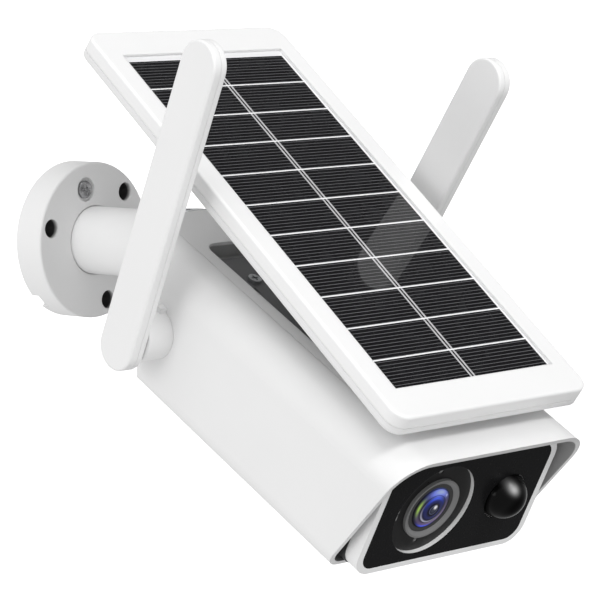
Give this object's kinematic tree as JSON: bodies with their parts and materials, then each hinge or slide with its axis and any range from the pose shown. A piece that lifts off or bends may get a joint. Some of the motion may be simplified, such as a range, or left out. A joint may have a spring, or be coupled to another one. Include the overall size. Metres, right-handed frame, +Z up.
{
  "type": "solar-powered security camera",
  "caption": "Outdoor camera on a round wall bracket with a panning, tilting arm, a hooded housing, a hinged solar panel above it and flat swivelling antennas at its sides.",
  "frame": {"origin": "centre of the mounting-hole circle, on the wall plate's flat back face", "axes": "+Y into the wall, -Y out of it along the arm, +Z up"},
  "size_m": [0.13, 0.2133, 0.1744],
  "materials": {
    "mount_white": "fine satin texture",
    "shell_white": "satin paint",
    "cover_white": "satin",
    "frame_white": "soft gloss",
    "antenna_white": "satin",
    "panel_white": "soft gloss",
    "grey_plastic": "matt moulded",
    "inner_plastic": "matt moulded",
    "black_plastic": "matt",
    "dome_black": "high gloss",
    "front_black": "polished black sheet",
    "steel": "nickel plated",
    "ring_metal": "satin anodised",
    "well_bright": "bright",
    "lens_glass": "coated",
    "board_green": "solder mask",
    "component_dark": "gloss",
    "component_metal": "tinned",
    "cell_wrap": "shrink wrapped can",
    "rubber_grey": "matt",
    "rubber_dark": "matt",
    "solar_glass": "clear coated",
    "solar_cell": "dark silicon with fine lines",
    "aerial_board": "copper tracks"
  },
  "bodies": {
    "mount": {"wall_plate": "mount_white", "retainer_ring": "inner_plastic", "lock_screw": "steel"},
    "arm": {"arm_tube": "mount_white", "arm_washer": "rubber_dark", "arm_knuckle": "mount_white"},
    "yoke": {"pan_yoke": "mount_white", "pan_bolt": "steel", "pan_nut": "steel"},
    "camera": {"outer_shell": "shell_white", "top_cover": "cover_white", "rear_bracket": "inner_plastic", "rear_bracket_screws": "steel", "tilt_bolt": "steel", "tilt_nut": "steel", "chassis": "inner_plastic", "chassis_screws": "steel", "antenna_sockets": "shell_white", "socket_nuts": "component_metal", "front_frame": "frame_white", "front_gasket": "rubber_dark", "front_glass": "front_black", "lens_well": "well_bright", "lens_plate": "black_plastic", "lens_ring": "ring_metal", "lens_barrel": "black_plastic", "lens_front": "lens_glass", "led_board": "board_green", "infrared_leds": "component_dark", "light_sensor": "lens_glass", "image_sensor": "component_dark", "camera_board": "board_green", "pir_dome": "dome_black", "pir_sensor": "component_metal", "microphone": "component_metal", "main_board": "board_green", "board_shields": "component_metal", "battery_tray": "black_plastic", "battery_cells": "cell_wrap", "speaker": "black_plastic", "port_board": "board_green", "card_socket": "component_metal", "usb_socket": "component_metal", "panel_bracket": "grey_plastic", "panel_bracket_screws": "steel"},
    "flap": {"port_flap": "rubber_grey"},
    "button": {"power_button": "rubber_dark"},
    "panel": {"panel_frame": "panel_white", "panel_back": "panel_white", "panel_glass": "solar_glass", "solar_cells": "solar_cell", "panel_screws": "steel", "panel_pin": "steel"},
    "antenna_left": {"antenna_left_case": "antenna_white", "antenna_left_cover": "antenna_white", "antenna_left_board": "aerial_board"},
    "antenna_right": {"antenna_right_case": "antenna_white", "antenna_right_cover": "antenna_white", "antenna_right_board": "aerial_board"}
  },
  "joints": [
    {"name": "arm_swivel", "type": "hinge", "parent": "mount", "child": "arm", "pos_m": [0, 0, 0], "axis": [0, 1, 0], "range_deg": [-90, 90]},
    {"name": "pan", "type": "hinge", "parent": "arm", "child": "yoke", "pos_m": [0, -0.0603, 0], "axis": [0, 0, 1], "range_deg": [-45, 58]},
    {"name": "tilt", "type": "hinge", "parent": "yoke", "child": "camera", "pos_m": [-0.00237, -0.08016, 0], "axis": [0.993, -0.1184, 0], "range_deg": [-22, 22]},
    {"name": "panel_tilt", "type": "hinge", "parent": "camera", "child": "panel", "pos_m": [-0.009, -0.1358, -0.00561], "axis": [0.993, -0.1184, 0], "range_deg": [-10, 2.5]},
    {"name": "antenna_left_swing", "type": "hinge", "parent": "camera", "child": "antenna_left", "pos_m": [-0.05385, -0.0854, -0.02393], "axis": [0.993, -0.1184, 0], "range_deg": [-45, 90]},
    {"name": "antenna_right_swing", "type": "hinge", "parent": "camera", "child": "antenna_right", "pos_m": [0.04644, -0.09736, -0.02393], "axis": [0.993, -0.1184, 0], "range_deg": [-45, 90]},
    {"name": "flap_hinge", "type": "hinge", "parent": "camera", "child": "flap", "pos_m": [0.01675, -0.08874, -0.04738], "axis": [0.993, -0.1184, 0], "range_deg": [0, 100]},
    {"name": "button_press", "type": "slide", "parent": "camera", "child": "button", "axis": [-0.0567, -0.4753, 0.878], "range_m": [0, 0.0006], "stiffness_N_per_m": 900, "springref_m": -0.0006}
  ]
}
